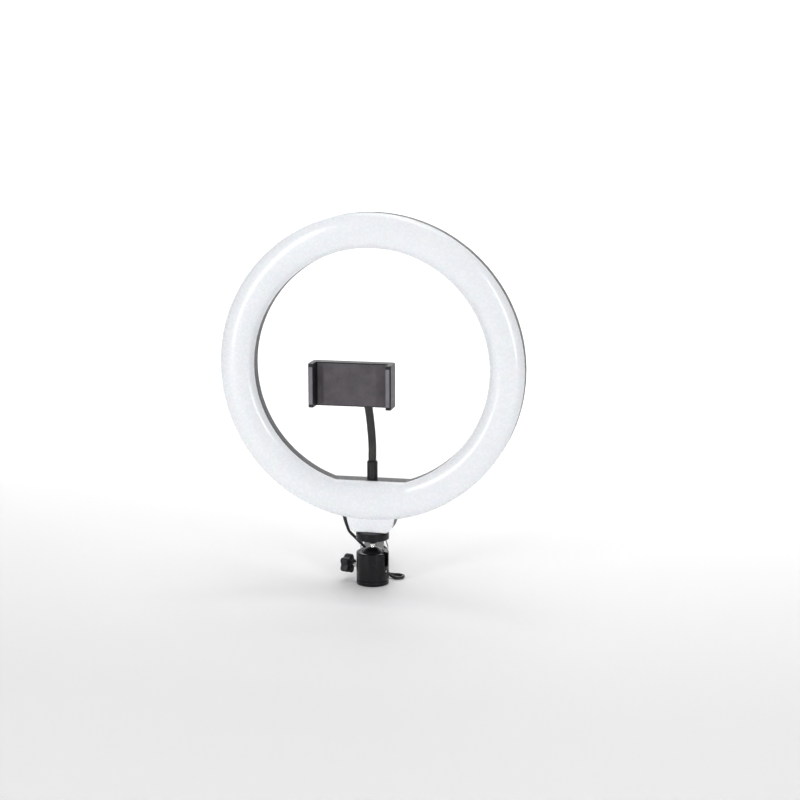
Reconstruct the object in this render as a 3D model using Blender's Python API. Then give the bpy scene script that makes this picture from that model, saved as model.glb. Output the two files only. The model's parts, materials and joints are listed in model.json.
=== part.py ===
"""A 300 mm ring light on a small ball head, with a gooseneck phone clamp and a USB lead.

The ring faces -Y. The origin is the centre of the ball head's underside, and +Z is up.
Lengths below are millimetres, and the helpers turn them into metres.
"""

import math

import bmesh
import bpy
from mathutils import Matrix, Vector

MM = 0.001
GAP = 0.3

# Ring
RING_Z = 216.0
RING_OUTER = 150.0
RING_INNER = 115.8
CHORD_DROP = 110.6  # the hole's flat bottom edge, below the ring's centre
PARTING_Y = -8.5
DOME_HEIGHT = 9.5
BACK_Y = 5.5
WALL = 2.0
RING_STEPS = 48
CHORD_Z = RING_Z - CHORD_DROP

# Neck and the hump behind it
NECK_BOTTOM = 54.0
HUMP_Y = 11.5
NECK_OUTLINE = [(16.0, NECK_BOTTOM), (19.5, 56.5), (22.0, 60.5), (23.5, 66.5), (24.5, 71.0)]
HUMP_OUTLINE = [(17.5, NECK_BOTTOM + 0.5), (24.0, 62.0), (36.0, 72.0), (40.0, CHORD_Z - 0.4)]
HUMP_RIGHT = [(17.5, 54.5), (21.5, 60.5), (25.5, 67.5), (36.0, 76.0), (40.0, 105.0)]  # the side without the lead is slimmer

# Ball head
HOUSING_RADIUS = 16.0
HOUSING_HEIGHT = 32.3
BALL_RADIUS = 12.0
BALL_Z = 25.5
STUD_Z = 15.7
KNOB_TURNED = math.radians(18)  # the lock knob points left and a little back
STUD_AXIS = Vector((-math.cos(KNOB_TURNED), math.sin(KNOB_TURNED), 0))
DISC_RADIUS = 16.3
DISC_BOTTOM = 45.5
DISC_TOP = 53.0

# Gooseneck
NECK_TUBE_RADIUS = 4.0
FERRULE_TOP = 124.0
BEND_Z = 140.0
GOOSENECK_ROUTE = [
    (0, 0, FERRULE_TOP + GAP),
    (0, -0.2, BEND_Z),
    (-0.9, -1.7, 158),
    (-2.4, -4.5, 176),
    (-3.9, -7.0, 184.5),
    (-6.2, -10.4, 192.6),
]
JOINT_BALL = Vector((-9.5, -17.5, 203.0))
JOINT_BALL_RADIUS = 6.0

# Phone clamp
CLAMP_Z = 205.0
CLAMP_HALF_HEIGHT = 21.0
CLAMP_LEFT = -51.0
CLAMP_RIGHT = 29.0
LIP_THICK = 5.0
LIP_FRONT = -50.0
PLATE_FRONT = -37.0
CLAMP_BACK = -26.0
ROD_SPREAD = 13.0
ROD_Y = -31.5
ROD_RADIUS = 2.0

# Lead
LEAD_RADIUS = 1.5
LEAD_EXIT = Vector((-28.0, 10.5, 54.0))
LEAD_ROUTE = [
    (-28.0, 10.5, 53.7),
    (-26.6, 12.6, 48.0),
    (-20.8, 17.4, 39.8),
    (-10.4, 20.6, 28.0),
    (-0.6, 22.4, 16.4),
    (8.4, 22.2, 6.8),
    (15.2, 18.6, 2.4),
    (20.6, 15.4, 1.6),
    (25.6, 18.2, 1.6),
    (26.0, 24.6, 1.6),
    (20.6, 28.0, 1.6),
]
LEAD_SPLIT_Z = 37.0
SIGHT = Vector((-0.2, 0.98, 0)).normalized()  # the hank lies behind the ball head, along this line
HANK_NEAR = 23.0
HANK_LENGTH = 77.0
HANK_WIDTH = 27.0
HANK_HEIGHT = 12.0
CONTROLLER_LENGTH = 62.0
CONTROLLER_WIDTH = 20.0
CONTROLLER_BOTTOM = HANK_HEIGHT + 0.6
BUTTON_PLACES = [-18.0, -6.0, 6.0, 18.0]
PLUG_DISTANCE = 126.0


def clear_scene():
    for obj in list(bpy.data.objects):
        bpy.data.objects.remove(obj, do_unlink=True)


def material(name, colour, roughness, metallic=0.0):
    found = bpy.data.materials.get(name)
    if found:
        return found
    made = bpy.data.materials.new(name)
    made.use_nodes = True
    shader = made.node_tree.nodes["Principled BSDF"]
    shader.inputs["Base Color"].default_value = (*colour, 1)
    shader.inputs["Roughness"].default_value = roughness
    shader.inputs["Metallic"].default_value = metallic
    return made


WHITE = material("milky_diffuser", (0.86, 0.88, 0.92), 0.35)
BLACK = material("black_plastic", (0.02, 0.02, 0.022), 0.4)
GLOSS = material("black_anodised", (0.015, 0.015, 0.018), 0.2)
STEEL = material("bright_steel", (0.7, 0.68, 0.66), 0.25, 1.0)
BRASS = material("brass", (0.7, 0.52, 0.25), 0.3, 1.0)
RUBBER = material("grey_rubber", (0.11, 0.105, 0.115), 0.8)
CABLE = material("black_pvc", (0.018, 0.018, 0.02), 0.5)
BOARD = material("circuit_board", (0.8, 0.82, 0.78), 0.5)


def add_mesh(name, bm, finish, sharp=40):
    """Turns a bmesh in millimetres into a named object in metres, with its faces out."""
    bmesh.ops.recalc_face_normals(bm, faces=bm.faces)
    bmesh.ops.scale(bm, vec=(MM, MM, MM), verts=bm.verts)
    mesh = bpy.data.meshes.new(name)
    bm.to_mesh(mesh)
    bm.free()
    mesh.shade_smooth()
    mesh.set_sharp_from_angle(angle=math.radians(sharp))
    mesh.materials.append(finish)
    obj = bpy.data.objects.new(name, mesh)
    bpy.context.scene.collection.objects.link(obj)
    return obj


def place(obj, point, axis=(0, 0, 1)):
    """Moves the object's origin to a point, and turns its Z to the axis."""
    obj.location = Vector(point) * MM
    obj.rotation_mode = "QUATERNION"
    obj.rotation_quaternion = Vector((0, 0, 1)).rotation_difference(Vector(axis))
    return obj


def turned(name, profile, finish, steps=24, closed=False):
    """A solid turned about Z from (radius, height) points, ending on the axis or closed in a ring."""
    bm = bmesh.new()
    rings = []
    for radius, height in profile:
        if radius == 0:
            rings.append([bm.verts.new((0, 0, height))] * steps)
            continue
        angles = [2 * math.pi * k / steps for k in range(steps)]
        rings.append([bm.verts.new((radius * math.cos(a), radius * math.sin(a), height)) for a in angles])
    pairs = list(zip(rings, rings[1:]))
    if closed:
        pairs.append((rings[-1], rings[0]))
    for low, high in pairs:
        for k in range(steps):
            n = (k + 1) % steps
            corners = list(dict.fromkeys((low[k], low[n], high[n], high[k])))
            bm.faces.new(corners)
    return add_mesh(name, bm, finish)


def rod(name, radius, low, high, finish, steps=16, chamfer=0.3):
    """A plain chamfered cylinder along Z."""
    profile = [
        (0, low),
        (radius - chamfer, low),
        (radius, low + chamfer),
        (radius, high - chamfer),
        (radius - chamfer, high),
        (0, high),
    ]
    return turned(name, profile, finish, steps)


def collar(name, inner, outer, low, high, finish, steps=24):
    """A plain ring about Z."""
    profile = [(inner, low), (outer, low), (outer, high), (inner, high)]
    return turned(name, profile, finish, steps, closed=True)


def block(name, low, high, finish, bevel=0.6):
    """A box between two corners, with its edges rounded."""
    bm = bmesh.new()
    bmesh.ops.create_cube(bm, size=1)
    size = [b - a for a, b in zip(low, high)]
    middle = [(a + b) / 2 for a, b in zip(low, high)]
    bmesh.ops.scale(bm, vec=size, verts=bm.verts)
    bmesh.ops.translate(bm, vec=middle, verts=bm.verts)
    if bevel:
        bmesh.ops.bevel(bm, geom=bm.edges[:], offset=bevel, segments=1, profile=0.5, affect="EDGES")
    return add_mesh(name, bm, finish)


def prism(name, outline, start, end, finish, across="XZ", bevel=0.0):
    """An outline pushed along the axis that it doesn't use."""
    bm = bmesh.new()

    def corner(a, b, c):
        return (a, c, b) if across == "XZ" else (a, b, c)

    near = [bm.verts.new(corner(a, b, start)) for a, b in outline]
    far = [bm.verts.new(corner(a, b, end)) for a, b in outline]
    front = bm.faces.new(near)
    bm.faces.new(far)
    for k in range(len(outline)):
        n = (k + 1) % len(outline)
        bm.faces.new((near[k], near[n], far[n], far[k]))
    if bevel:
        edges = list(front.edges)
        bmesh.ops.bevel(bm, geom=edges, offset=bevel, segments=2, profile=0.5, affect="EDGES")
    return add_mesh(name, bm, finish)


def joined_sides(right, left):
    """An outline from its right side and the mirror image of its left side, both from the bottom up."""
    return right + [(-x, z) for x, z in reversed(left)]


def mirrored(half):
    """A closed outline from the right half's points, listed from the bottom up."""
    return half + [(-x, z) for x, z in reversed(half)]


def combine(obj, other, operation):
    """Adds or cuts another object, which stays in the file as a hidden helper."""
    modifier = obj.modifiers.new(operation.lower(), "BOOLEAN")
    modifier.operation = operation
    modifier.object = other
    modifier.solver = "EXACT"
    other.hide_render = True
    other.display_type = "WIRE"


def smooth_route(points, spacing):
    """Points about `spacing` apart along a Catmull-Rom curve through the given ones."""
    knots = [Vector(p) for p in points]
    knots = [2 * knots[0] - knots[1], *knots, 2 * knots[-1] - knots[-2]]
    out = []
    for before, a, b, after in zip(knots, knots[1:], knots[2:], knots[3:]):
        steps = max(2, round((b - a).length / spacing))
        for k in range(steps):
            t = k / steps
            out.append(
                0.5
                * (
                    2 * a
                    + (b - before) * t
                    + (2 * before - 5 * a + 4 * b - after) * t**2
                    + (3 * a - before - 3 * b + after) * t**3
                )
            )
    return [*out, knots[-2]]


def tube(name, points, radius, finish, resolution=2):
    """A round tube along points."""
    curve = bpy.data.curves.new(name, "CURVE")
    curve.dimensions = "3D"
    curve.bevel_depth = radius * MM
    curve.bevel_resolution = resolution
    curve.use_fill_caps = True
    spline = curve.splines.new("POLY")
    spline.points.add(len(points) - 1)
    for slot, point in zip(spline.points, points):
        slot.co = (*(Vector(point) * MM), 1)
    curve.materials.append(finish)
    obj = bpy.data.objects.new(name, curve)
    bpy.context.scene.collection.objects.link(obj)
    return obj


def ring_sweep(name, section, finish):
    """Sweeps a closed section around the ring. It is a function of the inner and outer radius at each angle."""
    bm = bmesh.new()
    rings = []
    for k in range(RING_STEPS):
        angle = 2 * math.pi * (k + 0.5) / RING_STEPS
        down = max(-math.sin(angle), 1e-6)
        inner = min(RING_INNER, CHORD_DROP / down)
        points = section(inner)
        rings.append(
            [bm.verts.new((r * math.cos(angle), y, RING_Z + r * math.sin(angle))) for r, y in points]
        )
    for k, ring in enumerate(rings):
        after = rings[(k + 1) % RING_STEPS]
        for j in range(len(ring)):
            n = (j + 1) % len(ring)
            bm.faces.new((ring[j], ring[n], after[n], after[j]))
    return add_mesh(name, bm, finish, sharp=50)


def dome_arc(inner, outer, height, count):
    """Half an ellipse from the inner edge over the front to the outer edge."""
    middle = (inner + outer) / 2
    half = (outer - inner) / 2
    angles = [math.pi * k / count for k in range(count + 1)]
    return [(middle - half * math.cos(a), PARTING_Y - height * math.sin(a)) for a in angles]


def diffuser_section(inner):
    outside = dome_arc(inner, RING_OUTER, DOME_HEIGHT, 10)
    inside = dome_arc(inner + WALL, RING_OUTER - WALL, DOME_HEIGHT - WALL, 6)
    return outside + inside[::-1]


def back_section(inner):
    outer = RING_OUTER - 0.4
    front = PARTING_Y + GAP
    floor = BACK_Y - WALL
    return [
        (inner, front),
        (inner, floor),
        (inner + WALL, BACK_Y),
        (outer - WALL, BACK_Y),
        (outer, floor),
        (outer, front),
        (outer - WALL, front),
        (outer - WALL, floor),
        (inner + WALL, floor),
        (inner + WALL, front),
    ]


def board_section(inner):
    low = inner + WALL + 1
    high = RING_OUTER - WALL - 4.5
    return [(low, -7.2), (high, -7.2), (high, -5.8), (low, -5.8)]


def build_light_head():
    diffuser = ring_sweep("diffuser", diffuser_section, WHITE)
    neck_front = prism("neck_front", mirrored(NECK_OUTLINE), PARTING_Y - 3.0, PARTING_Y, WHITE, bevel=1.5)
    combine(diffuser, neck_front, "UNION")

    back = ring_sweep("back_shell", back_section, BLACK)
    hump = prism("hump_outside", joined_sides(HUMP_RIGHT, HUMP_OUTLINE), HUMP_Y, BACK_Y - 1.0, BLACK, bevel=1.5)
    neck_back = prism("neck_outside", mirrored(NECK_OUTLINE), PARTING_Y + 0.6, HUMP_Y - 1.9, BLACK)
    hollow = [
        [(x - 3, z + (WALL + 0.6 if z < 60 else -WALL - 1 if z > 100 else 1)) for x, z in side]
        for side in (HUMP_RIGHT, HUMP_OUTLINE)
    ]
    hump_inside = prism("hump_inside", joined_sides(*hollow), BACK_Y - WALL - 1.5, HUMP_Y - WALL, BLACK)
    throat = prism("neck_inside", [(-13, 57), (13, 57), (13, 84), (-13, 84)], -6.4, HUMP_Y - 2.6, BLACK)
    combine(back, neck_back, "UNION")
    combine(back, hump, "UNION")
    combine(back, hump_inside, "DIFFERENCE")
    combine(back, throat, "DIFFERENCE")
    stem_hole = place(rod("stem_hole", 3.0, -10, 10, BLACK), (0, 0, NECK_BOTTOM))
    combine(back, stem_hole, "DIFFERENCE")
    mount_hole = place(rod("mount_hole", 2.5, -6, 6, BLACK), (0, 0, CHORD_Z))
    combine(back, mount_hole, "DIFFERENCE")

    relief_axis = Vector((1.5, 3.2, -11.0)).normalized()
    gland_hole = place(rod("gland_hole", 2.9, -16, 2, BLACK), LEAD_EXIT - relief_axis * 6, relief_axis)
    combine(back, gland_hole, "DIFFERENCE")
    relief = [(0, -15), (2.5, -15), (2.5, -9), (2.3, -6), (1.9, -0.5), (1.6, 0), (0, 0)]
    place(turned("strain_relief", relief, CABLE, 14), LEAD_EXIT, relief_axis)

    ring_sweep("led_board", board_section, BOARD)
    block("driver_board", (-11, 6.4, 66), (11, 8.0, 82), BOARD, bevel=0)
    collar("neck_nut", 2.7, 5.2, 57.4, 63, BRASS)
    collar("phone_mount_nut", 2.4, 4.5, 95.0, CHORD_Z - 3.9, BRASS)

    head = [(0, 2.2), (1.6, 2.2), (2.6, 1.4), (2.6, GAP), (1.2, GAP), (1.2, -3.4), (0, -4.2)]
    for number in range(1, 7):
        angle = math.radians(60 * number)
        radius = (RING_INNER + RING_OUTER) / 2
        spot = (radius * math.cos(angle), BACK_Y, RING_Z + radius * math.sin(angle))
        hole = place(rod(f"screw_hole_{number}", 1.6, -5, 3, BLACK, 12), spot, (0, 1, 0))
        combine(back, hole, "DIFFERENCE")
        place(turned(f"shell_screw_{number}", head[::-1], STEEL, 12), spot, (0, 1, 0))


def build_ball_head():
    arc = [(12.3 * math.cos(a), BALL_Z + 12.3 * math.sin(a)) for a in (0.5, 0.34, 0.17, 0)]
    profile = [
        (5.0, 0),
        (14.8, 0),
        (16.0, 1.2),
        (16.0, 4.0),
        (15.5, 4.4),
        (15.5, 4.9),
        (16.0, 5.3),
        (16.0, 31.1),
        (15.0, HOUSING_HEIGHT),
        (11.6, HOUSING_HEIGHT),
        *arc,
        (12.3, 11),
        (5.0, 11),
    ]
    housing = turned("ball_housing", profile, GLOSS, 32, closed=True)
    stud_hole = place(rod("stud_hole", 2.3, 8, 20, GLOSS), (0, 0, STUD_Z), STUD_AXIS)
    combine(housing, stud_hole, "DIFFERENCE")
    slot_outline = [(-3.5, 22.5), (-2.3, 19.8), (0, 18.8), (2.3, 19.8), (3.5, 22.5), (3.5, 36), (-3.5, 36)]
    slot = prism("drop_slot", slot_outline, 9.5, 20, GLOSS)
    slot.rotation_euler = (0, 0, math.atan2(-STUD_AXIS.y, -STUD_AXIS.x) - math.pi / 2)
    combine(housing, slot, "DIFFERENCE")
    set_hole = place(rod("set_hole", 1.8, 8, 20, GLOSS), (0, 0, 13.8), -STUD_AXIS)
    combine(housing, set_hole, "DIFFERENCE")
    place(rod("set_screw", 1.5, 12.8, 15.4, STEEL, 12), (0, 0, 13.8), -STUD_AXIS)

    collar("base_bush", 3.2, 4.7, 0.4, 10.6, BRASS)
    seat = [(5.0, 11.3), (9.4, 11.3), (9.4, 17.2), (8.4, 16.5), (5.0, 14.2)]
    turned("ball_seat", seat, RUBBER, 24, closed=True)

    arc = [-math.pi / 2 + k * (math.pi / 2 + 1.37) / 12 for k in range(13)]
    ball = [(BALL_RADIUS * math.cos(a), BALL_Z + BALL_RADIUS * math.sin(a)) for a in arc[1:]]
    stem = [(2.4, 38.2), (2.4, 60.2), (1.9, 60.8), (0, 60.8)]
    turned("ball_stem", [(0, BALL_Z - BALL_RADIUS), *ball, *stem], GLOSS, 24)

    disc = [
        (2.7, 40.6),
        (3.4, 40.6),
        (3.4, 44.6),
        (4.2, DISC_BOTTOM),
        (DISC_RADIUS - 0.8, DISC_BOTTOM),
        (DISC_RADIUS, DISC_BOTTOM + 0.8),
        (DISC_RADIUS, DISC_TOP - 1.4),
        (DISC_RADIUS - 1.4, DISC_TOP - 0.3),
        (14.3, DISC_TOP - 0.3),
        (14.3, DISC_TOP - 1.2),
        (2.7, DISC_TOP - 1.2),
    ]
    turned("lock_disc", disc, GLOSS, 28, closed=True)
    collar("disc_pad", 3.0, 14.0, DISC_TOP - 0.9, NECK_BOTTOM - GAP, RUBBER, 28)

    axis_point = (0, 0, STUD_Z)
    place(rod("knob_stud", 1.9, 12.4, 24.5, STEEL), axis_point, STUD_AXIS)
    place(rod("pressure_pad", 1.8, 10.6, 12.1, BRASS), axis_point, STUD_AXIS)
    build_knob(axis_point)


def build_knob(axis_point):
    """A five-lobed knob with a flange, bored for the stud."""
    lobes = 5
    steps = 30
    bm = bmesh.new()
    rings = []
    levels = [(22.6, 0.55), (23.8, 0.6), (24.2, 0.86), (25.4, 1.0), (31.6, 1.0), (33.0, 0.84)]
    for height, share in levels:
        ring = []
        for k in range(steps):
            angle = 2 * math.pi * k / steps
            wave = 1.25 * math.cos(lobes * angle) if share > 0.8 else 0
            radius = 9.9 * share - 1.25 + wave
            ring.append(bm.verts.new((radius * math.cos(angle), radius * math.sin(angle), height)))
        rings.append(ring)
    for height, radius in ((25.0, 2.2), (22.6, 2.2)):
        ring = []
        for k in range(steps):
            angle = 2 * math.pi * k / steps
            ring.append(bm.verts.new((radius * math.cos(angle), radius * math.sin(angle), height)))
        rings.append(ring)
    outside = rings[:6]
    bore_end, bore_mouth = rings[6:]
    bands = [*zip(outside, outside[1:]), (bore_end, bore_mouth), (bore_mouth, outside[0])]
    for low, high in bands:
        for k in range(steps):
            n = (k + 1) % steps
            bm.faces.new((low[k], low[n], high[n], high[k]))
    bm.faces.new(outside[-1])
    bm.faces.new(bore_end)
    place(add_mesh("lock_knob", bm, BLACK), axis_point, STUD_AXIS)


def build_phone_holder():
    ferrule = [
        (0, 97.2),
        (2.1, 97.2),
        (2.1, CHORD_Z + GAP),
        (5.2, CHORD_Z + GAP),
        (5.2, FERRULE_TOP - 1.2),
        (4.3, FERRULE_TOP),
        (0, FERRULE_TOP),
    ]
    turned("gooseneck_ferrule", ferrule, BLACK, 20)
    route = smooth_route(GOOSENECK_ROUTE, 5)
    lower = [p for p in route if p.z < BEND_Z]
    upper = [p for p in route if p.z > BEND_Z + 1.0]
    tube("gooseneck_lower", [*lower, (0, -0.2, BEND_Z - GAP)], NECK_TUBE_RADIUS, BLACK, 3)
    tube("gooseneck_upper", [(0, -0.2, BEND_Z + GAP), *upper], NECK_TUBE_RADIUS, BLACK, 3)

    end = Vector(GOOSENECK_ROUTE[-1])
    reach = JOINT_BALL - end
    axis = reach.normalized()
    place(rod("top_ferrule", 5.0, 0.8, 5.8, BLACK, chamfer=1.2), end, axis)
    start = math.asin(2.2 / JOINT_BALL_RADIUS)
    angles = [-math.pi / 2 + start + k * (math.pi - start) / 10 for k in range(10)]
    ball = [(JOINT_BALL_RADIUS * math.cos(a), JOINT_BALL_RADIUS * math.sin(a)) for a in angles]
    stud_end = -reach.length + 5.8 + GAP
    profile = [(0, stud_end), (2.2, stud_end), *ball, (0, JOINT_BALL_RADIUS)]
    place(turned("joint_ball", profile, BLACK, 20), JOINT_BALL, axis)

    cup_angles = (0.18, 0.5, 0.8, 1.1, 1.4)
    cup = [(6.4 * math.cos(a), 6.4 * math.sin(a)) for a in cup_angles]
    depth = JOINT_BALL.y - CLAMP_BACK - GAP
    profile = [(0, depth), (7.4, depth), (8.6, depth - 1.0), (8.6, 3.5), (7.4, 2.3), *cup, (0, 6.4)]
    place(turned("clamp_socket", profile[::-1], BLACK, 24), JOINT_BALL, (0, -1, 0))
    build_clamp()


def build_clamp():
    low = CLAMP_Z - CLAMP_HALF_HEIGHT
    high = CLAMP_Z + CLAMP_HALF_HEIGHT
    seam = CLAMP_RIGHT - LIP_THICK
    fixed = [
        (CLAMP_LEFT + 1.2, LIP_FRONT),
        (CLAMP_LEFT + LIP_THICK, LIP_FRONT),
        (CLAMP_LEFT + LIP_THICK, PLATE_FRONT),
        (seam - GAP, PLATE_FRONT),
        (seam - GAP, CLAMP_BACK),
        (CLAMP_LEFT + 3, CLAMP_BACK),
        (CLAMP_LEFT, CLAMP_BACK - 3),
        (CLAMP_LEFT, LIP_FRONT + 1.5),
    ]
    body = prism("clamp_body", fixed, low, high, BLACK, across="XY")
    jaw = [
        (seam, LIP_FRONT),
        (CLAMP_RIGHT - 1.2, LIP_FRONT),
        (CLAMP_RIGHT, LIP_FRONT + 1.5),
        (CLAMP_RIGHT, CLAMP_BACK - 3),
        (CLAMP_RIGHT - 3, CLAMP_BACK),
        (seam, CLAMP_BACK),
    ]
    prism("slider_jaw", jaw, low, high, BLACK, across="XY")
    for number, side in ((1, -1), (2, 1)):
        spot = (seam, ROD_Y, CLAMP_Z + side * ROD_SPREAD)
        bore = place(rod(f"rod_bore_{number}", ROD_RADIUS + GAP, -44, 2, BLACK), spot, (1, 0, 0))
        combine(body, bore, "DIFFERENCE")
        place(rod(f"guide_rod_{number}", ROD_RADIUS, -42, -0.3, STEEL, 14), spot, (1, 0, 0))
    spot = (seam, ROD_Y, CLAMP_Z)
    bore = place(rod("spring_bore", 3.4, -36, 2, BLACK), spot, (1, 0, 0))
    combine(body, bore, "DIFFERENCE")
    spring = collar("clamp_spring", 1.8, 2.9, -35.5, -0.4, STEEL, 14)
    place(spring, spot, (1, 0, 0))

    inner_left = CLAMP_LEFT + LIP_THICK
    pad_low, pad_high = CLAMP_Z - 18.0, CLAMP_Z + 18.0
    block(
        "plate_pad",
        (inner_left + 1.2, PLATE_FRONT - 1.2, low + 1),
        (seam - 1.5, PLATE_FRONT - GAP, high - 1),
        RUBBER,
        bevel=0.3,
    )
    for name, left in (("left_pad", CLAMP_LEFT + 1.1), ("right_pad", seam + 0.3)):
        block(name, (left, LIP_FRONT - 1.3, pad_low), (left + 3.7, LIP_FRONT - GAP, pad_high), RUBBER, 0.3)


def along_sight(distance, side=0.0, height=0.0):
    """A point behind the ball head: how far back, how far to the right, how high."""
    right = Vector((SIGHT.y, -SIGHT.x, 0))
    return SIGHT * distance + right * side + Vector((0, 0, height))


def turn_to_sight(obj, distance, height=0.0):
    obj.location = along_sight(distance, 0, height) * MM
    obj.rotation_euler = (0, 0, math.atan2(SIGHT.y, SIGHT.x) - math.pi / 2)
    return obj


def build_lead():
    route = smooth_route(LEAD_ROUTE, 6)
    upper = [p for p in route if p.z > LEAD_SPLIT_Z]
    lower = [p for p in route if p.z <= LEAD_SPLIT_Z]
    step = (lower[0] - upper[-1]).normalized()
    tube("lead_upper", [*upper[:-1], lower[0] - step * (GAP + 1.2)], LEAD_RADIUS, CABLE)
    tube("lead_lower", [lower[0] - step, *lower[1:-1], lower[-1]], LEAD_RADIUS, CABLE)

    bend = HANK_WIDTH / 2
    half = HANK_LENGTH / 2 - bend
    angles = [math.pi * k / 8 for k in range(9)]
    far_end = [(bend * math.cos(a), half + bend * math.sin(a)) for a in angles]
    near_end = [(-bend * math.cos(a), -half - bend * math.sin(a)) for a in angles]
    hank = prism("lead_hank", far_end + near_end, 0, HANK_HEIGHT, CABLE, across="XY")
    middle = HANK_NEAR + HANK_LENGTH / 2
    turn_to_sight(hank, middle)

    half_width = CONTROLLER_WIDTH / 2
    half_length = CONTROLLER_LENGTH / 2
    centre = middle + 2
    bottom = block(
        "controller_bottom",
        (-half_width, -half_length, 0),
        (half_width, half_length, 3.6),
        BLACK,
        bevel=0.8,
    )
    turn_to_sight(bottom, centre, CONTROLLER_BOTTOM)
    top = block(
        "controller_top",
        (-half_width, -half_length, 3.6 + GAP),
        (half_width, half_length, 9.6),
        BLACK,
        bevel=0.8,
    )
    hollow = block("controller_hollow", (-8, -28, 2), (8, 28, 8.2), BLACK, bevel=0)
    turn_to_sight(top, centre, CONTROLLER_BOTTOM)
    turn_to_sight(hollow, centre, CONTROLLER_BOTTOM)
    combine(top, hollow, "DIFFERENCE")
    board = block("controller_board", (-7, -26, 4.2), (7, 26, 5.4), BOARD, bevel=0)
    turn_to_sight(board, centre, CONTROLLER_BOTTOM)
    names = ("power_button", "colour_button", "brighter_button", "dimmer_button")
    for name, along in zip(names, BUTTON_PLACES):
        spot = along_sight(centre + along, 0, CONTROLLER_BOTTOM)
        hole = place(rod(f"{name}_hole", 3.2, 7, 11, BLACK, 20), spot)
        combine(top, hole, "DIFFERENCE")
        place(rod(name, 2.9, 7.0, 10.6, RUBBER, 20), spot)

    tail = [
        along_sight(centre + half_length + GAP, 0, CONTROLLER_BOTTOM + 5),
        along_sight(centre + half_length + 5, 0.4, CONTROLLER_BOTTOM + 4.6),
        along_sight(centre + half_length + 10, 1.2, CONTROLLER_BOTTOM + 0.5),
        along_sight(centre + half_length + 14, 1.6, 8.0),
        along_sight(centre + half_length + 18, 1.2, 4.4),
        along_sight(centre + half_length + 24, 0, 3.8),
        along_sight(PLUG_DISTANCE - GAP, 0, 3.8),
    ]
    tube("usb_tail", smooth_route(tail, 5), LEAD_RADIUS, CABLE)
    plug = block("usb_plug_body", (-5.5, 0, 0), (5.5, 24, 7.6), BLACK, bevel=0.9)
    turn_to_sight(plug, PLUG_DISTANCE)
    shell = block("usb_plug_shell", (-6, 24.3, 1.5), (6, 36, 6.1), STEEL, bevel=0)
    turn_to_sight(shell, PLUG_DISTANCE)
    mouth = block("plug_mouth", (-5.6, 25.5, 1.9), (5.6, 40, 5.7), STEEL, bevel=0)
    turn_to_sight(mouth, PLUG_DISTANCE)
    combine(shell, mouth, "DIFFERENCE")


clear_scene()
build_light_head()
build_ball_head()
build_phone_holder()
build_lead()
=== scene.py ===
"""Looks for the ring light: finer shells, gooseneck, ball head and lead, materials, floor, lights, camera."""

import json
import math

import bmesh
import bpy
from mathutils import Matrix, Vector


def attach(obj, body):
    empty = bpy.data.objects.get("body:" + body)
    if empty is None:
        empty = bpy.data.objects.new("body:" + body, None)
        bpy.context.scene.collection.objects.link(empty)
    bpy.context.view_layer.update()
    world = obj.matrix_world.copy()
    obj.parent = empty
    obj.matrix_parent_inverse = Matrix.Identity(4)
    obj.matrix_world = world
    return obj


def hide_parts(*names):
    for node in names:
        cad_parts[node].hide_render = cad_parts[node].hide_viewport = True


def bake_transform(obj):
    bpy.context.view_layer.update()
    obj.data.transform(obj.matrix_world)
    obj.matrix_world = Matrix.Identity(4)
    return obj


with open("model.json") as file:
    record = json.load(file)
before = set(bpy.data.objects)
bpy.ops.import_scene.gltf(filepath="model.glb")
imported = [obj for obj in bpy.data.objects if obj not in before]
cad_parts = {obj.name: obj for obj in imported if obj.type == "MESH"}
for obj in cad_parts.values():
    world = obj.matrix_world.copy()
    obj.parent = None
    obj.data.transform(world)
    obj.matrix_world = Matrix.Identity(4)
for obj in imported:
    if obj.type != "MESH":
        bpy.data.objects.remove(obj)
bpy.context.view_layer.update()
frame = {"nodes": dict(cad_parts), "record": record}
MM = 0.001

NODES = frame["nodes"]
NODE_BODY = {
    node: body for body, nodes in frame["record"]["behaviour"]["bodies"].items() for node in nodes
}
SLOTS = {entry["node"]: entry["material_slot"] for entry in frame["record"]["subparts"]}

# The design's sizes, in millimetres: the light head
RING_Z = 216.0
RING_OUTER = 150.0
RING_INNER = 115.8
CHORD_DROP = 110.6
PARTING_Y = -8.5
DOME_HEIGHT = 9.5
BACK_Y = 5.5
HUMP_Y = 11.5
WALL = 2.0
OUTER_LIMIT = 149.65  # the CAD ring's corners reach this far, so the finer ring stops here
NECK_OUTLINE = [(16.0, 54.0), (19.5, 56.5), (22.0, 60.5), (23.5, 66.5), (24.5, 71.0)]
HUMP_LEFT = [(17.5, 54.5), (24.0, 62.0), (36.0, 72.0), (40.0, 105.0)]
HUMP_RIGHT = [(17.5, 54.5), (21.5, 60.5), (25.5, 67.5), (36.0, 76.0), (40.0, 105.0)]

# The ball head
HOUSING_RADIUS = 16.0
HOUSING_TOP = 32.3
GROOVE_RADIUS = 15.5
CUP_RADIUS = 12.3
BALL_RADIUS = 12.0
BALL_Z = 25.5
STUD_Z = 15.7
SET_SCREW_Z = 13.8
KNOB_TURNED = math.radians(18)
STUD_AXIS = Vector((-math.cos(KNOB_TURNED), math.sin(KNOB_TURNED), 0))
SLOT_HALF = 3.5
SLOT_FOOT = 18.8
KNOB_RADIUS = 9.9
LOBE_HEIGHT = 1.25
LOBES = 5
DISC_RADIUS = 16.3
DISC_BOTTOM = 45.5
DISC_TOP = 52.7

# The gooseneck
FERRULE_TOP = 124.0
BEND_Z = 140.0
NECK_RADIUS = 4.0
GOOSENECK_ROUTE = [
    (0, 0, FERRULE_TOP + 0.3),
    (0, -0.2, BEND_Z),
    (-0.9, -1.7, 158),
    (-2.4, -4.5, 176),
    (-3.9, -7.0, 184.5),
    (-6.2, -10.4, 192.6),
]

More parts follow.
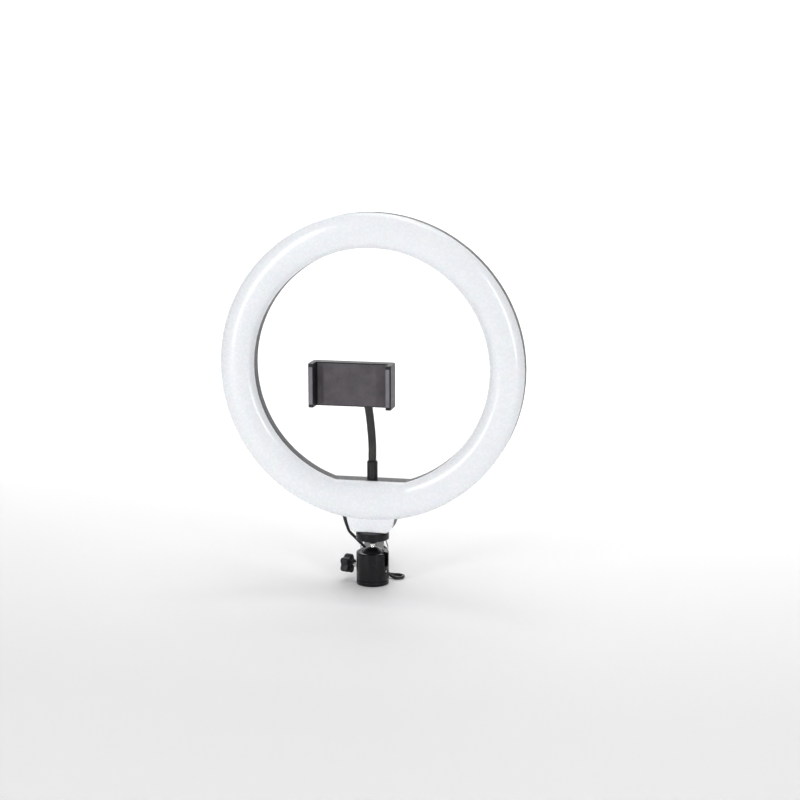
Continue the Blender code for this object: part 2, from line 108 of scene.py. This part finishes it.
# The lead, its hank, the controller on the hank and the plug
LEAD_RADIUS = 1.5
LEAD_ROUTE = [
    (-28.0, 10.5, 53.7),
    (-26.6, 12.6, 48.0),
    (-20.8, 17.4, 39.8),
    (-10.4, 20.6, 28.0),
    (-0.6, 22.4, 16.4),
    (8.4, 22.2, 6.8),
    (15.2, 18.6, 2.4),
    (20.6, 15.4, 1.6),
    (25.6, 18.2, 1.6),
    (26.0, 24.6, 1.6),
    (20.6, 28.0, 1.6),
]
LEAD_SPLIT_Z = 28.5
LEAD_STEP = 1.5
SIGHT = Vector((-0.2, 0.98, 0)).normalized()
HANK_NEAR = 23.0
HANK_LENGTH = 77.0
HANK_WIDTH = 27.0
HANK_MIDDLE = HANK_NEAR + HANK_LENGTH / 2
HANK_RADII = (11.9, 8.8)
HANK_LAYERS = (1.6, 4.6, 7.6, 10.6)
CONTROLLER_FAR = HANK_MIDDLE + 33.0
CONTROLLER_Z = 17.6
PLUG_DISTANCE = 126.0
PLUG_Z = 3.8


# ---------------------------------------------------------------- camera, lights and floor

def make_camera():
    """The photograph's view: to the right of the ring's axis and a little above it."""
    centre = Vector((0, PARTING_Y, RING_Z)) * MM
    turn, rise, distance = math.radians(12.78), math.radians(9.64), 1.625
    direction = Vector(
        (math.sin(turn) * math.cos(rise), -math.cos(turn) * math.cos(rise), math.sin(rise))
    )
    forward = -direction
    right = forward.cross(Vector((0, 0, 1))).normalized()
    up = right.cross(forward)
    aim = forward + right * math.tan(0.0176) - up * math.tan(0.0185)
    data = bpy.data.cameras.new("camera")
    data.lens = 76.1
    data.sensor_width = 36
    data.clip_start = 0.01
    camera = bpy.data.objects.new("camera", data)
    camera.location = centre + direction * distance
    camera.rotation_euler = aim.to_track_quat("-Z", "Y").to_euler()
    bpy.context.scene.collection.objects.link(camera)
    bpy.context.scene.camera = camera


def add_light(name, spot, size, energy, target=(0, 0, 0.2)):
    """A rectangular light at a spot in metres, turned to its target."""
    data = bpy.data.lights.new(name, "AREA")
    data.shape = "RECTANGLE"
    data.size, data.size_y = size
    data.energy = energy
    light = bpy.data.objects.new(name, data)
    light.location = spot
    light.rotation_euler = (Vector(target) - Vector(spot)).to_track_quat("-Z", "Y").to_euler()
    bpy.context.scene.collection.objects.link(light)


def make_lights():
    world = bpy.data.worlds.new("studio")
    world.use_nodes = True
    world.node_tree.nodes["Background"].inputs["Color"].default_value = (1, 1, 1, 1)
    world.node_tree.nodes["Background"].inputs["Strength"].default_value = 0.34
    bpy.context.scene.world = world
    bpy.context.scene.view_settings.view_transform = "Standard"
    add_light("key", (-1.0, -1.65, 0.64), (0.2, 1.2), 12.6)
    add_light("fill", (1.27, -1.42, 0.64), (0.16, 1.2), 8.4)
    add_light("top", (0.1, 0.1, 1.6), (1.2, 0.8), 7)
    add_light("backdrop_wash", (0, 0.9, 1.7), (2.6, 0.8), 42, (0, 2.3, 0.7))


def make_floor():
    """A pale floor that curves up into a backdrop. Sizes are in metres."""
    half_width, front, rear, height, radius, steps = 3.0, -4.0, 2.2, 3.0, 0.8, 12
    profile = [(front, 0.0), (rear - radius, 0.0)]
    for k in range(1, steps + 1):
        a = math.pi / 2 * k / steps
        profile.append((rear - radius + radius * math.sin(a), radius - radius * math.cos(a)))
    profile.append((rear, height))
    points = [(x, y, z) for y, z in profile for x in (-half_width, half_width)]
    faces = [(2 * k, 2 * k + 1, 2 * k + 3, 2 * k + 2) for k in range(len(profile) - 1)]
    mesh = bpy.data.meshes.new("floor")
    mesh.from_pydata(points, [], faces)
    mesh.shade_smooth()
    floor = bpy.data.objects.new("floor", mesh)
    bpy.context.scene.collection.objects.link(floor)
    surface = bpy.data.materials.new("pale_floor")
    surface.use_nodes = True
    shader = surface.node_tree.nodes["Principled BSDF"]
    shader.inputs["Base Color"].default_value = (0.93, 0.93, 0.935, 1)
    shader.inputs["Roughness"].default_value = 0.6
    mesh.materials.append(surface)


make_camera()
make_lights()
make_floor()


# ---------------------------------------------------------------- materials

class Finish:
    """A Principled material whose colour, roughness and bump come from object-space noise."""

    def __init__(self, name, dark, light, rough, metallic=0.0):
        self.material = bpy.data.materials.new(name)
        self.material.use_nodes = True
        self.tree = self.material.node_tree
        self.shader = self.tree.nodes["Principled BSDF"]
        self.shader.inputs["Metallic"].default_value = metallic
        self.coords = self.tree.nodes.new("ShaderNodeTexCoord").outputs["Object"]
        self.height = None
        mottle = self.noise(90, 4)
        self.link(self.ramp(mottle, dark, light), self.shader.inputs["Base Color"])
        self.link(self.span(self.noise(420, 3), *rough), self.shader.inputs["Roughness"])

    def link(self, start, end):
        self.tree.links.new(start, end)

    def noise(self, scale, detail, stretch=(1, 1, 1)):
        source = self.coords
        if stretch != (1, 1, 1):
            mapping = self.tree.nodes.new("ShaderNodeMapping")
            mapping.inputs["Scale"].default_value = stretch
            self.link(source, mapping.inputs["Vector"])
            source = mapping.outputs["Vector"]
        node = self.tree.nodes.new("ShaderNodeTexNoise")
        node.inputs["Scale"].default_value = scale
        node.inputs["Detail"].default_value = detail
        self.link(source, node.inputs["Vector"])
        return node.outputs["Fac"]

    def ramp(self, factor, dark, light):
        node = self.tree.nodes.new("ShaderNodeValToRGB")
        node.color_ramp.elements[0].position = 0.3
        node.color_ramp.elements[1].position = 0.7
        node.color_ramp.elements[0].color = (*dark, 1)
        node.color_ramp.elements[1].color = (*light, 1)
        self.link(factor, node.inputs["Fac"])
        return node.outputs["Color"]

    def span(self, factor, low, high):
        node = self.tree.nodes.new("ShaderNodeMapRange")
        node.inputs["From Min"].default_value = 0.3
        node.inputs["From Max"].default_value = 0.7
        node.inputs["To Min"].default_value = low
        node.inputs["To Max"].default_value = high
        self.link(factor, node.inputs["Value"])
        return node.outputs["Result"]

    def bump(self, factor, depth, strength=0.5):
        node = self.tree.nodes.new("ShaderNodeBump")
        node.inputs["Distance"].default_value = depth
        node.inputs["Strength"].default_value = strength
        self.link(factor, node.inputs["Height"])
        if self.height:
            self.link(self.height, node.inputs["Normal"])
        self.height = node.outputs["Normal"]
        self.link(self.height, self.shader.inputs["Normal"])
        return self

    def wave(self, scale, direction, distortion=0.0):
        node = self.tree.nodes.new("ShaderNodeTexWave")
        node.bands_direction = direction
        node.inputs["Scale"].default_value = scale
        node.inputs["Distortion"].default_value = distortion
        self.link(self.coords, node.inputs["Vector"])
        return node.outputs["Fac"]

    def set(self, **values):
        for key, value in values.items():
            self.shader.inputs[key.replace("_", " ")].default_value = value
        return self


def make_finishes():
    made = {}
    milky = Finish("milky_acrylic", (0.885, 0.893, 0.93), (0.905, 0.912, 0.945), (0.24, 0.30))
    milky.bump(milky.noise(1500, 2), 0.00003, 0.1)
    milky.set(Coat_Weight=0.35, Coat_Roughness=0.12, Subsurface_Weight=0.15, Subsurface_Scale=0.004)
    made["milky"] = milky.material
    plastic = Finish("black_moulding", (0.008, 0.008, 0.010), (0.013, 0.013, 0.015), (0.4, 0.52))
    plastic.set(Specular_IOR_Level=0.4)
    plastic.bump(plastic.noise(2600, 2), 0.00006, 0.35)
    made["plastic"] = plastic.material
    neck = Finish("gooseneck_sleeve", (0.012, 0.011, 0.011), (0.028, 0.025, 0.024), (0.34, 0.46))
    neck.bump(neck.noise(1800, 2), 0.00005, 0.3)
    made["neck"] = neck.material
    gloss = Finish("black_anodised_gloss", (0.004, 0.004, 0.005), (0.008, 0.008, 0.010), (0.27, 0.33))
    gloss.bump(gloss.noise(700, 2, (1, 1, 12)), 0.00001, 0.1)
    gloss.set(Specular_IOR_Level=0.24)
    made["gloss"] = gloss.material
    steel = Finish("turned_steel", (0.52, 0.51, 0.50), (0.72, 0.70, 0.68), (0.18, 0.3), 1.0)
    steel.bump(steel.noise(1200, 2, (1, 1, 14)), 0.00002, 0.3)
    made["steel"] = steel.material
    brass = Finish("turned_brass", (0.55, 0.39, 0.16), (0.74, 0.55, 0.26), (0.2, 0.34), 1.0)
    brass.bump(brass.noise(1200, 2, (1, 1, 14)), 0.00002, 0.3)
    made["brass"] = brass.material
    rubber = Finish("grey_rubber_sheet", (0.072, 0.064, 0.073), (0.098, 0.088, 0.098), (0.62, 0.8))
    rubber.bump(rubber.noise(3200, 3), 0.00012, 0.6)
    made["rubber"] = rubber.material
    lip = Finish("pale_rubber_lip", (0.15, 0.14, 0.17), (0.20, 0.19, 0.22), (0.5, 0.65))
    lip.bump(lip.noise(2200, 2), 0.00006, 0.4)
    made["lip"] = lip.material
    cable = Finish("pvc_jacket", (0.010, 0.010, 0.011), (0.02, 0.02, 0.022), (0.34, 0.46))
    cable.bump(cable.noise(900, 3), 0.00005, 0.35)
    made["cable"] = cable.material
    board = Finish("white_solder_mask", (0.72, 0.74, 0.70), (0.82, 0.84, 0.80), (0.3, 0.42))
    board.bump(board.wave(180, "X"), 0.00004, 0.3)
    made["board"] = board.material
    return made


FINISH = make_finishes()
SLOT_FINISH = {
    "milky_diffuser": "milky",
    "black_plastic": "plastic",
    "black_anodised": "gloss",
    "bright_steel": "steel",
    "brass": "brass",
    "grey_rubber": "rubber",
    "black_pvc": "cable",
    "circuit_board": "board",
}


def dress_cad_nodes():
    """Gives every carried-over CAD node its finished material."""
    for name, obj in NODES.items():
        finish = FINISH["lip" if name in ("left_pad", "right_pad") else SLOT_FINISH[SLOTS[name]]]
        obj.data.materials.clear()
        obj.data.materials.append(finish)


dress_cad_nodes()


# ---------------------------------------------------------------- mesh helpers

def add_piece(name, bm, finish, sharp=40):
    """Turns a bmesh in millimetres into a named object in metres."""
    bmesh.ops.recalc_face_normals(bm, faces=bm.faces)
    bmesh.ops.scale(bm, vec=(MM, MM, MM), verts=bm.verts)
    mesh = bpy.data.meshes.new(name)
    bm.to_mesh(mesh)
    bm.free()
    mesh.shade_smooth()
    mesh.set_sharp_from_angle(angle=math.radians(sharp))
    mesh.materials.append(finish)
    obj = bpy.data.objects.new(name, mesh)
    bpy.context.scene.collection.objects.link(obj)
    return obj


def stitch(bm, rings, closed=True):
    """Joins rings of vertices with quads, and caps both ends unless the rings close on themselves."""
    count = len(rings[0])
    pairs = list(zip(rings, rings[1:]))
    if closed:
        pairs.append((rings[-1], rings[0]))
    for low, high in pairs:
        for k in range(count):
            n = (k + 1) % count
            bm.faces.new((low[k], low[n], high[n], high[k]))
    if not closed:
        bm.faces.new(rings[0][::-1])
        bm.faces.new(rings[-1])


def smooth_route(points, spacing):
    """Points about `spacing` apart along a Catmull-Rom curve through the given ones."""
    knots = [Vector(p) for p in points]
    knots = [2 * knots[0] - knots[1], *knots, 2 * knots[-1] - knots[-2]]
    out = []
    for before, a, b, after in zip(knots, knots[1:], knots[2:], knots[3:]):
        steps = max(2, round((b - a).length / spacing))
        for k in range(steps):
            t = k / steps
            out.append(
                0.5
                * (
                    2 * a
                    + (b - before) * t
                    + (2 * before - 5 * a + 4 * b - after) * t**2
                    + (3 * a - before - 3 * b + after) * t**3
                )
            )
    return [*out, knots[-2]]


def evenly(points, spacing):
    """The same polyline with points a fixed distance apart."""
    total = sum((b - a).length for a, b in zip(points, points[1:]))
    count = max(2, round(total / spacing))
    step = total / count
    out = [points[0].copy()]
    travelled, wanted = 0.0, step
    for a, b in zip(points, points[1:]):
        length = (b - a).length
        while wanted <= travelled + length + 1e-9 and len(out) < count:
            out.append(a.lerp(b, (wanted - travelled) / length))
            wanted += step
        travelled += length
    return [*out, points[-1].copy()]


def sweep(name, points, radii, finish, sides=16):
    """A round tube along points with a radius at each, without twist."""
    bm = bmesh.new()
    rings = []
    tangents = [
        (points[min(k + 1, len(points) - 1)] - points[max(k - 1, 0)]).normalized()
        for k in range(len(points))
    ]
    side = tangents[0].orthogonal().normalized()
    for point, tangent, radius in zip(points, tangents, radii):
        side = (side - tangent * side.dot(tangent)).normalized()
        other = tangent.cross(side)
        angles = [2 * math.pi * k / sides for k in range(sides)]
        rings.append(
            [bm.verts.new(point + (side * math.cos(a) + other * math.sin(a)) * radius) for a in angles]
        )
    stitch(bm, rings, closed=False)
    return add_piece(name, bm, finish)


def turned(name, profile, finish, steps=64, closed=False):
    """A solid turned about Z from (radius, height) points."""
    bm = bmesh.new()
    rings = []
    for radius, height in profile:
        if radius == 0:
            rings.append([bm.verts.new((0, 0, height))] * steps)
            continue
        angles = [2 * math.pi * k / steps for k in range(steps)]
        ring = [(radius * math.cos(a), radius * math.sin(a), height) for a in angles]
        rings.append([bm.verts.new(point) for point in ring])
    pairs = list(zip(rings, rings[1:]))
    if closed:
        pairs.append((rings[-1], rings[0]))
    for low, high in pairs:
        for k in range(steps):
            n = (k + 1) % steps
            bm.faces.new(list(dict.fromkeys((low[k], low[n], high[n], high[k]))))
    return add_piece(name, bm, finish)


def place(obj, point, axis=(0, 0, 1)):
    """Moves a piece to a point in millimetres, and turns its Z to the axis."""
    obj.rotation_mode = "QUATERNION"
    obj.rotation_quaternion = Vector((0, 0, 1)).rotation_difference(Vector(axis))
    obj.location = Vector(point) * MM
    return obj


def ease(t):
    """0 to 1 with level ends, and flat outside that range."""
    t = min(1.0, max(0.0, t))
    return t * t * (3 - 2 * t)


def stand_for(piece, node):
    """The piece rides on its node's body and takes the place of the node, which is hidden."""
    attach(piece, NODE_BODY[node])
    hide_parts(node)
    return piece


# ---------------------------------------------------------------- the light head

def ring_sweep(name, section, finish, steps=288):
    """Sweeps a closed section of (radius, y) points round the ring, straight across the chord."""
    bm = bmesh.new()
    rings = []
    corner = math.asin(CHORD_DROP / RING_INNER)
    angles = [2 * math.pi * k / steps for k in range(steps)]
    angles = sorted({*angles, -corner % (2 * math.pi), corner + math.pi})
    for angle in angles:
        inner = min(RING_INNER, CHORD_DROP / max(-math.sin(angle), 1e-6))
        x, z = math.cos(angle), math.sin(angle)
        rings.append([bm.verts.new((r * x, y, RING_Z + r * z)) for r, y in section(inner)])
    stitch(bm, rings)
    return add_piece(name, bm, finish, 42)


def dome_arc(inner, outer, height, count):
    middle, half = (inner + outer) / 2, (outer - inner) / 2
    angles = [math.pi * k / count for k in range(count + 1)]
    return [(middle - half * math.cos(a), PARTING_Y - height * math.sin(a)) for a in angles]


def diffuser_section(inner):
    outside = dome_arc(inner, OUTER_LIMIT, DOME_HEIGHT, 28)
    inside = dome_arc(inner + WALL, OUTER_LIMIT - WALL, DOME_HEIGHT - WALL, 10)
    return outside + inside[::-1]


def back_section(inner):
    outer = RING_OUTER - 0.4
    front, floor = PARTING_Y + 0.3, BACK_Y - WALL
    turn = [math.pi / 2 * k / 5 for k in range(6)]
    points = [(inner, front)]
    points += [(inner + WALL - WALL * math.cos(a), floor + WALL * math.sin(a)) for a in turn]
    points += [(outer - WALL + WALL * math.sin(a), floor + WALL * math.cos(a)) for a in turn]
    points += [(outer, front), (outer - WALL, front), (outer - WALL, floor)]
    return [*points, (inner + WALL, floor), (inner + WALL, front)]


def rounded_slab(name, right, left, low_y, high_y, round_y, radius, finish):
    """A slab across Y from its outline's right and left sides, with its face at round_y rounded off."""
    right, left = (smooth_route([(x, 0, z) for x, z in side], 1.5) for side in (right, left))
    outline = [(p.x, p.z) for p in right] + [(-p.x, p.z) for p in reversed(left)]
    bm = bmesh.new()
    front = [bm.verts.new((x, low_y, z)) for x, z in outline]
    back = [bm.verts.new((x, high_y, z)) for x, z in outline]
    stitch(bm, [front, back], closed=False)
    bmesh.ops.recalc_face_normals(bm, faces=bm.faces)
    rim = [e for e in bm.edges if all(abs(v.co.y - round_y) < 1e-6 for v in e.verts)]
    bmesh.ops.bevel(bm, geom=rim, offset=radius, segments=4, profile=0.5, affect="EDGES")
    return add_piece(name, bm, finish, 50)


def build_light_head():
    """The milky front and the black back, each a ring with its half of the neck."""
    white, black = FINISH["milky"], FINISH["plastic"]
    neck, hump = (NECK_OUTLINE, NECK_OUTLINE), (HUMP_RIGHT, HUMP_LEFT)
    front, rear = PARTING_Y - 3.0, HUMP_Y - 1.9
    stand_for(ring_sweep("diffuser_ring", diffuser_section, white), "diffuser")
    stand_for(rounded_slab("diffuser_neck", *neck, front, PARTING_Y, front, 1.5, white), "diffuser")
    stand_for(ring_sweep("back_channel", back_section, black), "back_shell")
    stand_for(rounded_slab("back_hump", *hump, BACK_Y - 1, HUMP_Y, HUMP_Y, 1.8, black), "back_shell")
    stand_for(rounded_slab("back_neck", *neck, PARTING_Y + 0.6, rear, rear, 1.0, black), "back_shell")


# ---------------------------------------------------------------- the ball head

def fillet(corners, count=4):
    """A (radius, height) profile from (radius, height, rounding) corners."""
    points = []
    for k, (x, z, size) in enumerate(corners):
        here = Vector((x, z))
        if not size:
            points.append((x, z))
            continue
        before = Vector(corners[k - 1][:2])
        after = Vector(corners[(k + 1) % len(corners)][:2])
        a = here + (before - here).normalized() * size
        b = here + (after - here).normalized() * size
        for n in range(count + 1):
            t = n / count
            p = a * (1 - t) ** 2 + here * 2 * t * (1 - t) + b * t**2
            points.append((p.x, p.y))
    return points


def cut(obj, tool):
    """Cuts the tool out of obj for good."""
    modifier = obj.modifiers.new("cut", "BOOLEAN")
    modifier.operation = "DIFFERENCE"
    modifier.solver = "EXACT"
    modifier.object = tool
    bpy.context.view_layer.update()
    mesh = bpy.data.meshes.new_from_object(obj.evaluated_get(bpy.context.evaluated_depsgraph_get()))
    obj.modifiers.clear()
    obj.data = mesh
    bpy.data.objects.remove(tool)
    mesh.shade_smooth()
    mesh.set_sharp_from_angle(angle=math.radians(32))


def cut_bore(housing, radius, height, axis):
    """A sideways hole through the housing's wall."""
    profile = [(0, 8), (radius, 8), (radius, 20), (0, 20)]
    cut(housing, place(turned("tool", profile, FINISH["gloss"], 32), (0, 0, height), axis))


def cut_drop_slot(housing):
    """The round-footed slot, opposite the knob, that the stem can lie in."""
    round_end = [math.pi * k / 16 for k in range(17)]
    outline = [(SLOT_HALF * math.cos(a), SLOT_FOOT + 3.6 - 3.6 * math.sin(a)) for a in round_end]
    outline += [(-SLOT_HALF, 36), (SLOT_HALF, 36)]
    bm = bmesh.new()
    turn = Matrix.Rotation(math.atan2(-STUD_AXIS.y, -STUD_AXIS.x) - math.pi / 2, 3, "Z")
    rings = [[bm.verts.new(turn @ Vector((x, y, z))) for x, z in outline] for y in (9.5, 20)]
    stitch(bm, rings, closed=False)
    cut(housing, add_piece("tool", bm, FINISH["gloss"]))


def build_housing():
    cup = [
        (CUP_RADIUS * math.cos(a), BALL_Z + CUP_RADIUS * math.sin(a), 0)
        for a in (0.5, 0.4, 0.3, 0.2, 0.1, 0)
    ]
    corners = [
        (5.0, 0, 0),
        (HOUSING_RADIUS, 0, 1.2),
        (HOUSING_RADIUS, 4.2, 0.25),
        (GROOVE_RADIUS, 4.5, 0),
        (GROOVE_RADIUS, 4.8, 0),
        (HOUSING_RADIUS, 5.1, 0.25),
        (HOUSING_RADIUS, HOUSING_TOP, 1.0),
        (11.6, HOUSING_TOP, 0.35),
        *cup,
        (CUP_RADIUS, 11, 0),
        (5.0, 11, 0),
    ]
    housing = turned("housing", fillet(corners), FINISH["gloss"], 96, closed=True)
    cut_bore(housing, 2.3, STUD_Z, STUD_AXIS)
    cut_bore(housing, 1.8, SET_SCREW_Z, -STUD_AXIS)
    cut_drop_slot(housing)
    return housing


def build_knob():
    """Soft lobes on a round flange, from (height, share of the full radius) levels."""
    steps = 120
    bm = bmesh.new()
    levels = [(22.6, 0.5), (22.8, 0.56), (23.7, 0.6), (24.0, 0.7), (24.2, 0.86), (24.6, 0.95)]
    levels += [(25.4, 1.0), (31.2, 1.0), (32.0, 0.98), (32.6, 0.93), (32.9, 0.86), (33.0, 0.76)]
    rings = []
    for height, share in levels:
        lobe = LOBE_HEIGHT * ease((share - 0.55) / 0.3)
        ring = []
        for k in range(steps):
            a = 2 * math.pi * k / steps
            radius = KNOB_RADIUS * share - LOBE_HEIGHT + lobe * math.cos(LOBES * a)
            ring.append(bm.verts.new((radius * math.cos(a), radius * math.sin(a), height)))
        rings.append(ring)
    stitch(bm, rings, closed=False)
    return place(add_piece("knob", bm, FINISH["plastic"], 30), (0, 0, STUD_Z), STUD_AXIS)


def build_ball():
    """The black ball and, as a piece of its own, the bright stem above it."""
    start, top, steps = -math.pi / 2 + 0.01, 1.37, 48
    arc = [start + k * (top - start) / steps for k in range(steps + 1)]
    ball = [(BALL_RADIUS * math.cos(a), BALL_Z + BALL_RADIUS * math.sin(a)) for a in arc]
    profile = [(0, BALL_Z - BALL_RADIUS), *ball, (0, ball[-1][1])]
    stand_for(turned("ball", profile, FINISH["gloss"], 64), "ball_stem")
    stem = fillet([(0, 37, 0), (2.8, 37, 0), (2.4, 38.6, 0.5), (2.4, 60.8, 0.5), (0, 60.8, 0)])
    stud = stand_for(turned("ball_stud", stem, FINISH["steel"], 48), "ball_stem")


def build_disc():
    corners = [
        (2.7, 40.6, 0),
        (3.4, 40.6, 0.3),
        (3.4, DISC_BOTTOM - 0.3, 0.6),
        (4.4, DISC_BOTTOM, 0.3),
        (DISC_RADIUS, DISC_BOTTOM, 0.9),
        (DISC_RADIUS, DISC_TOP, 1.2),
        (14.3, DISC_TOP, 0.2),
        (14.3, DISC_TOP - 0.9, 0),
        (2.7, DISC_TOP - 0.9, 0),
    ]
    return turned("disc", fillet(corners), FINISH["gloss"], 96, closed=True)


def build_ball_head():
    stand_for(build_housing(), "ball_housing")
    stand_for(build_knob(), "lock_knob")
    build_ball()
    stand_for(build_disc(), "lock_disc")


# ---------------------------------------------------------------- the gooseneck

def build_gooseneck():
    """The sleeved spring: fine turns, deepest near its foot, where the sleeve is pulled tight."""
    path = evenly(smooth_route(GOOSENECK_ROUTE, 1), 0.3)
    radii, travelled, pitch = [], 0.0, 2.1
    for k, point in enumerate(path):
        travelled += (point - path[k - 1]).length if k else 0
        depth = 0.05 + 0.1 * (1 - ease((travelled - 18) / 14))
        radii.append(NECK_RADIUS - depth * (0.5 - 0.5 * math.cos(2 * math.pi * travelled / pitch)))
    radii[0] = radii[-1] = NECK_RADIUS - 0.3
    neck = sweep("gooseneck", path, radii, FINISH["neck"], 28)
    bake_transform(neck)
    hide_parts("gooseneck_lower", "gooseneck_upper")


# ---------------------------------------------------------------- the lead

def along_sight(distance, side=0.0, height=0.0):
    """A point behind the ball head: how far back, how far to the right, how high."""
    right = Vector((SIGHT.y, -SIGHT.x, 0))
    return SIGHT * distance + right * side + Vector((0, 0, height))


def hank_turns():
    """The lead wound into a hank: racetrack turns, two side by side in each of four layers."""
    half = HANK_LENGTH / 2 - HANK_WIDTH / 2
    near, far = HANK_MIDDLE - half, HANK_MIDDLE + half
    turns = []
    for k, height in enumerate(HANK_LAYERS):
        turns += [(radius, height) for radius in (HANK_RADII[::-1] if k % 2 else HANK_RADII)]
    arc = [math.pi * k / 12 for k in range(13)]
    along = [k / 10 for k in range(1, 10)]
    points = []
    for number, (radius, height) in enumerate(turns):
        points += [along_sight(near + 2 * half * t, radius, height) for t in along]
        points += [along_sight(far + radius * math.sin(a), radius * math.cos(a), height) for a in arc]
        if number == len(turns) - 1:
            break
        wide, high = turns[number + 1]
        for t in along:
            side = radius + (wide - radius) * ease((t - 0.5) / 0.5)
            rise = height + (high - height) * ease(t / 0.5)
            points.append(along_sight(far - 2 * half * t, -side, rise))
        points += [along_sight(near - wide * math.sin(a), -wide * math.cos(a), high) for a in arc]
    return points


def lead_paths():
    """The stretch from the strain relief, and the one to the floor, round the hank and to the controller."""
    free = smooth_route(LEAD_ROUTE, 3)
    upper = [p for p in free if p.z > LEAD_SPLIT_Z]
    lower = [p for p in free if p.z <= LEAD_SPLIT_Z]
    winding = hank_turns()
    into_hank = [free[-1], along_sight(24.8, 17.4, 1.6), along_sight(31.0, 12.9, 1.6), winding[0]]
    into_hank = smooth_route(into_hank, 2.5)
    side = -HANK_RADII[0]
    out_of_hank = [
        winding[-1],
        along_sight(72.0, side, 10.6),
        along_sight(56.0, side, 11.6),
        along_sight(42.0, side, 15.6),
        along_sight(33.0, side, 17.5),
        along_sight(27.4, -10.4, CONTROLLER_Z),
        along_sight(24.6, -6.0, CONTROLLER_Z),
        along_sight(26.6, -1.6, CONTROLLER_Z),
        along_sight(30.0, -0.2, CONTROLLER_Z),
        along_sight(32.3, 0, CONTROLLER_Z),
    ]
    whole = [*lower[:-1], *into_hank[:-1], *winding[:-1], *smooth_route(out_of_hank, 2.5)]
    return evenly([*upper, lower[0]], LEAD_STEP), evenly(whole, LEAD_STEP)


def lead_tube(name, path):
    return sweep(name, path, [LEAD_RADIUS] * len(path), FINISH["cable"], 12)


def build_lead():
    """The lead in two fixed stretches, the upper one between the head and the ball, the lower one between
    ball and housing, and the tie on the hank.
    """
    upper, lower = lead_paths()
    piece = lead_tube("lead_above", upper)
    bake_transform(piece)
    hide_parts("lead_upper")
    piece = lead_tube("lead_below", lower)
    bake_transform(piece)
    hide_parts("lead_lower", "lead_hank")
    build_tie()


def build_tail():
    """The short stretch from the controller's far end to the plug on the floor."""
    route = [
        along_sight(CONTROLLER_FAR + 0.3, 0, CONTROLLER_Z),
        along_sight(CONTROLLER_FAR + 5, 0.4, 17.2),
        along_sight(CONTROLLER_FAR + 10, 1.2, 13.1),
        along_sight(CONTROLLER_FAR + 14, 1.6, 8.0),
        along_sight(CONTROLLER_FAR + 18, 1.2, 4.4),
        along_sight(CONTROLLER_FAR + 24, 0, PLUG_Z),
        along_sight(PLUG_DISTANCE - 0.3, 0, PLUG_Z),
    ]
    path = evenly(smooth_route(route, 2), LEAD_STEP)
    tail = lead_tube("tail_lead", path)
    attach(tail, "ball_head")
    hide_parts("usb_tail")


def build_tie():
    """A flat rubber strap over the controller and down both sides of the hank, at its far end."""
    start, width, rim, inset = HANK_MIDDLE + 25.1, 5.0, 0.3, 0.15
    outer = [(14.3, 0.15), (14.3, 12.5), (11.2, 22.4), (10.2, 23.1)]
    inner = [(13.7, 0.15), (13.7, 12.4), (10.6, 22.1), (10.0, 22.5)]
    outer += [(-x, z) for x, z in reversed(outer)]
    inner += [(-x, z) for x, z in reversed(inner)]
    bm = bmesh.new()
    rings = []
    for along, drawn_in in ((0, inset), (rim, 0), (width - rim, 0), (width, inset)):
        ring = [along_sight(start + along, x - math.copysign(drawn_in, x), z) for x, z in outer]
        ring += [along_sight(start + along, x, z) for x, z in reversed(inner)]
        rings.append([bm.verts.new(point) for point in ring])
    stitch(bm, rings, closed=False)
    tie = add_piece("hank_tie", bm, FINISH["rubber"])
    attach(tie, "ball_head")
    return tie


build_light_head()
build_ball_head()
build_gooseneck()
build_lead()
build_tail()
